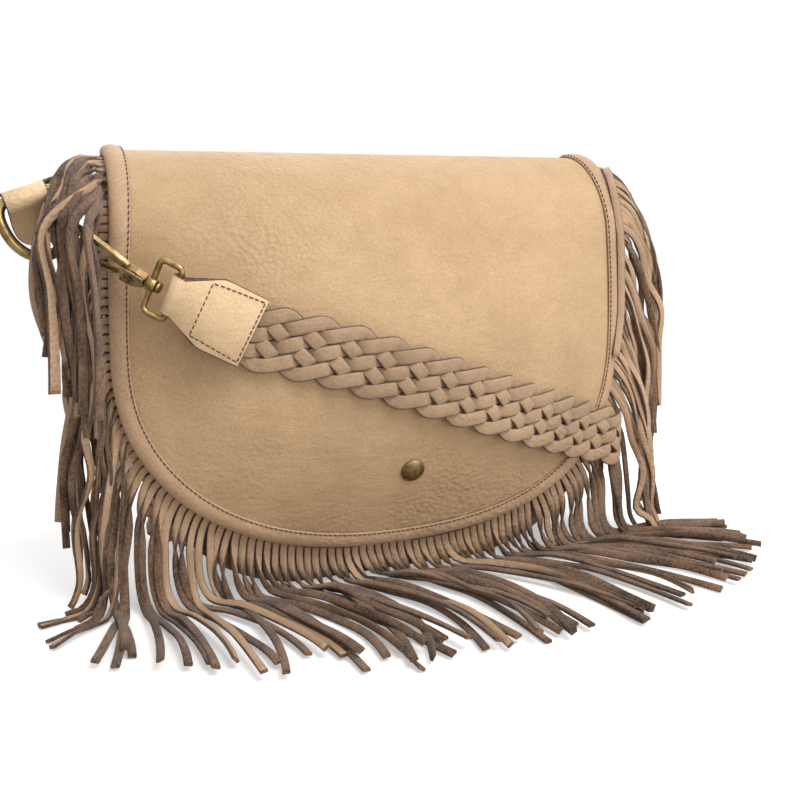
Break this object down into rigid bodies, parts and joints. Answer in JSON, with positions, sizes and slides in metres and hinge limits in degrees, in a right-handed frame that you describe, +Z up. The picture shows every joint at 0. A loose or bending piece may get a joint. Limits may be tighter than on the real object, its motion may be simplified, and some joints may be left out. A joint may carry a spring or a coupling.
{
  "type": "fringed leather shoulder bag",
  "caption": "Small saddle bag with a rounded flap, a leather fringe all round the flap's bound edge, and a flat braided strap clipped to D-rings with swivel hooks.",
  "frame": {"origin": "on the floor at the middle of the bag's flat bottom, under the fold of the flap's top", "axes": "+X to the right along the bag's width as seen from the front, +Y to the back, +Z up; the flap faces -Y"},
  "size_m": [0.4248, 0.2529, 0.2475],
  "materials": {
    "leather": "smooth nubuck",
    "binding_leather": "smooth nubuck, burnished",
    "fringe_leather": "smooth one side, suede the other",
    "brass": "antique brass"
  },
  "bodies": {
    "bag": {"back_and_flap": "leather", "front_panel": "leather", "gusset": "leather", "flap_binding": "binding_leather", "left_fringe": "fringe_leather", "front_fringe": "fringe_leather", "right_fringe": "fringe_leather", "snap_cap": "brass", "snap_socket": "brass", "snap_stud": "brass", "stud_washer": "brass", "braided_strap": "leather", "left_ring_tab": "leather", "left_strap_tab": "leather", "right_ring_tab": "leather", "right_strap_tab": "leather"},
    "left_d_ring": {"left_d_ring": "brass"},
    "left_strap_ring": {"left_strap_ring": "brass"},
    "left_hook": {"left_hook": "brass", "left_gate_pin": "brass"},
    "left_gate": {"left_gate": "brass"},
    "right_d_ring": {"right_d_ring": "brass"},
    "right_strap_ring": {"right_strap_ring": "brass"},
    "right_hook": {"right_hook": "brass", "right_gate_pin": "brass"},
    "right_gate": {"right_gate": "brass"}
  },
  "joints": [
    {"name": "left_d_ring_turn", "type": "hinge", "parent": "bag", "child": "left_d_ring", "pos_m": [-0.19326, -0.039, 0.22066], "axis": [0.9507, 0, 0.3102], "range_deg": [-1.5, 1.5]},
    {"name": "left_strap_ring_turn", "type": "hinge", "parent": "bag", "child": "left_strap_ring", "pos_m": [-0.1291, -0.07136, 0.17264], "axis": [0.3466, -0.2432, 0.9059], "range_deg": [-0.5, 0.5]},
    {"name": "left_hook_swivel", "type": "hinge", "parent": "left_strap_ring", "child": "left_hook", "pos_m": [-0.13852, -0.06475, 0.17802], "axis": [-0.7416, 0.5204, 0.4235], "range_deg": [-8, 2]},
    {"name": "left_gate_open", "type": "hinge", "parent": "left_hook", "child": "left_gate", "pos_m": [-0.14811, -0.05719, 0.18263], "axis": [0.6698, 0.5383, 0.5115], "range_deg": [0, 20], "stiffness_Nm_per_rad": 0.02, "springref_deg": -20.05},
    {"name": "right_d_ring_turn", "type": "hinge", "parent": "bag", "child": "right_d_ring", "pos_m": [0.19326, 0.027, 0.22066], "axis": [-0.9507, 0, 0.3102], "range_deg": [-1.5, 1.5]},
    {"name": "right_strap_ring_turn", "type": "hinge", "parent": "bag", "child": "right_strap_ring", "pos_m": [0.1291, 0.05936, 0.17264], "axis": [-0.3466, 0.2432, 0.9059], "range_deg": [-0.5, 0.5]},
    {"name": "right_hook_swivel", "type": "hinge", "parent": "right_strap_ring", "child": "right_hook", "pos_m": [0.13852, 0.05275, 0.17802], "axis": [0.7416, -0.5204, 0.4235], "range_deg": [-8, 2]},
    {"name": "right_gate_open", "type": "hinge", "parent": "right_hook", "child": "right_gate", "pos_m": [0.14811, 0.04519, 0.18263], "axis": [-0.6698, -0.5383, 0.5115], "range_deg": [0, 20], "stiffness_Nm_per_rad": 0.02, "springref_deg": -20.05}
  ]
}
